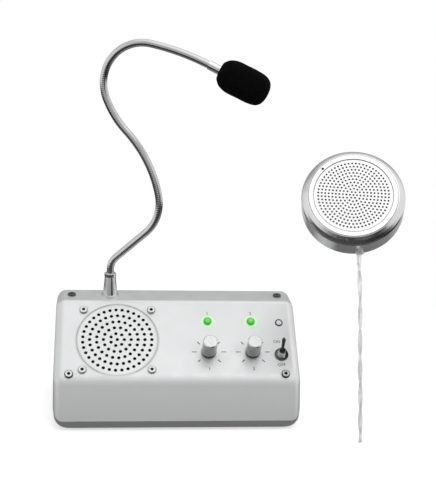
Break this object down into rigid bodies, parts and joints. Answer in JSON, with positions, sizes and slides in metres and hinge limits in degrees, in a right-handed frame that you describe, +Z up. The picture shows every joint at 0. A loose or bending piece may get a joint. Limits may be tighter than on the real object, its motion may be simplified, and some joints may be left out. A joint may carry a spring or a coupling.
{
  "type": "teller window intercom",
  "caption": "Desk intercom with a sloping control panel, loudspeaker, volume knobs, toggle switch and gooseneck microphone, with a round outside speaker on a cord.",
  "frame": {"origin": "on the counter, under the middle of the desk unit's cover", "axes": "+X to the operator's right along the desk unit, +Y away from the operator towards the window, +Z up"},
  "size_m": [0.2564, 0.1204, 0.2893],
  "materials": {
    "cover_silver": "satin",
    "tray_grey": "satin paint",
    "rubber_black": "matte",
    "screw_steel": "zinc plated",
    "cloth_black": "woven",
    "frame_steel": "plated",
    "magnet_ferrite": "matte",
    "cone_paper": "paper",
    "board_green": "solder mask",
    "stud_brass": "plain",
    "parts_dark": "matte",
    "sink_aluminium": "plain",
    "pot_metal": "plated",
    "knob_silver": "turned",
    "lens_green": "clear tinted",
    "lens_clear": "clear",
    "ring_black": "matte",
    "switch_chrome": "polished",
    "socket_black": "matte",
    "neck_chrome": "polished",
    "housing_metal": "satin",
    "foam_black": "open-cell foam",
    "shell_aluminium": "turned and brushed",
    "grille_aluminium": "perforated",
    "cord_clear": "clear over tinned wire"
  },
  "bodies": {
    "desk_unit": {"top_cover": "cover_silver", "bottom_tray": "tray_grey", "rubber_feet": "rubber_black", "front_cover_screws": "screw_steel", "top_cover_screws": "screw_steel", "speaker_screws": "screw_steel", "speaker_nuts": "screw_steel", "speaker_cloth": "cloth_black", "speaker_frame": "frame_steel", "speaker_magnet": "magnet_ferrite", "speaker_cone": "cone_paper", "control_board": "board_green", "board_studs": "stud_brass", "board_screws": "screw_steel", "amplifier_parts": "parts_dark", "heat_sink": "sink_aluminium", "volume_pot_left": "pot_metal", "volume_pot_right": "pot_metal", "lamp_lens_left": "lens_green", "lamp_lens_right": "lens_green", "lamp_holders": "parts_dark", "power_lamp": "lens_clear", "power_lamp_ring": "ring_black", "switch_body": "switch_chrome", "switch_washer": "switch_chrome", "switch_nut": "switch_chrome", "power_inlet": "socket_black", "power_inlet_pin": "screw_steel", "outside_unit_jack": "socket_black", "neck_ferrule": "neck_chrome", "neck_nut": "screw_steel", "neck_stub": "neck_chrome"},
    "lower_neck": {"neck_lower": "neck_chrome"},
    "side_neck": {"neck_side": "neck_chrome"},
    "upper_neck": {"neck_upper": "neck_chrome"},
    "microphone": {"neck_mic_end": "neck_chrome", "mic_housing": "housing_metal", "mic_capsule": "housing_metal"},
    "windscreen": {"foam_windscreen": "foam_black"},
    "left_knob": {"knob_left": "knob_silver", "pot_shaft_left": "pot_metal"},
    "right_knob": {"knob_right": "knob_silver", "pot_shaft_right": "pot_metal"},
    "toggle": {"toggle_lever": "switch_chrome"},
    "outside_unit": {"outside_shell": "shell_aluminium", "outside_mic_capsule": "parts_dark", "outside_grille": "grille_aluminium", "outside_cloth": "cloth_black", "outside_speaker": "frame_steel", "outside_back_plate": "shell_aluminium", "outside_screws": "screw_steel", "mounting_pad": "rubber_black", "cord_gland": "rubber_black", "outside_cord": "cord_clear"}
  },
  "joints": [
    {"name": "neck_lean", "type": "hinge", "parent": "desk_unit", "child": "lower_neck", "pos_m": [-0.0525, 0.03046, 0.10563], "axis": [0.9511, -0.309, 0], "range_deg": [-15, 15]},
    {"name": "neck_side_bend", "type": "hinge", "parent": "lower_neck", "child": "side_neck", "pos_m": [-0.02499, 0.02153, 0.13935], "axis": [-0.309, -0.9511, 0], "range_deg": [-5, 20]},
    {"name": "neck_middle_bend", "type": "hinge", "parent": "side_neck", "child": "upper_neck", "pos_m": [-0.04141, 0.02686, 0.21825], "axis": [0.6618, -0.215, 0.7181], "range_deg": [-20, 20]},
    {"name": "neck_top_bend", "type": "hinge", "parent": "upper_neck", "child": "microphone", "pos_m": [-0.02403, 0.02121, 0.28603], "axis": [-0.309, -0.9511, 0], "range_deg": [-20, 20]},
    {"name": "windscreen_pull", "type": "slide", "parent": "microphone", "child": "windscreen", "axis": [0.8767, -0.2849, -0.3875], "range_m": [0, 0.03]},
    {"name": "left_volume_turn", "type": "hinge", "parent": "desk_unit", "child": "left_knob", "pos_m": [0.0243, -0.01806, 0.05487], "axis": [0, -0.6239, 0.7815], "range_deg": [-150, 150]},
    {"name": "right_volume_turn", "type": "hinge", "parent": "desk_unit", "child": "right_knob", "pos_m": [0.0587, -0.01806, 0.05487], "axis": [0, -0.6239, 0.7815], "range_deg": [-150, 150]},
    {"name": "power_toggle", "type": "hinge", "parent": "desk_unit", "child": "toggle", "pos_m": [0.081, -0.02219, 0.05618], "axis": [1, 0, 0], "range_deg": [0, 32]},
    {"name": "outside_unit_place", "type": "slide", "parent": "desk_unit", "child": "outside_unit", "axis": [1, 0, 0], "range_m": [0, 0.06]}
  ]
}
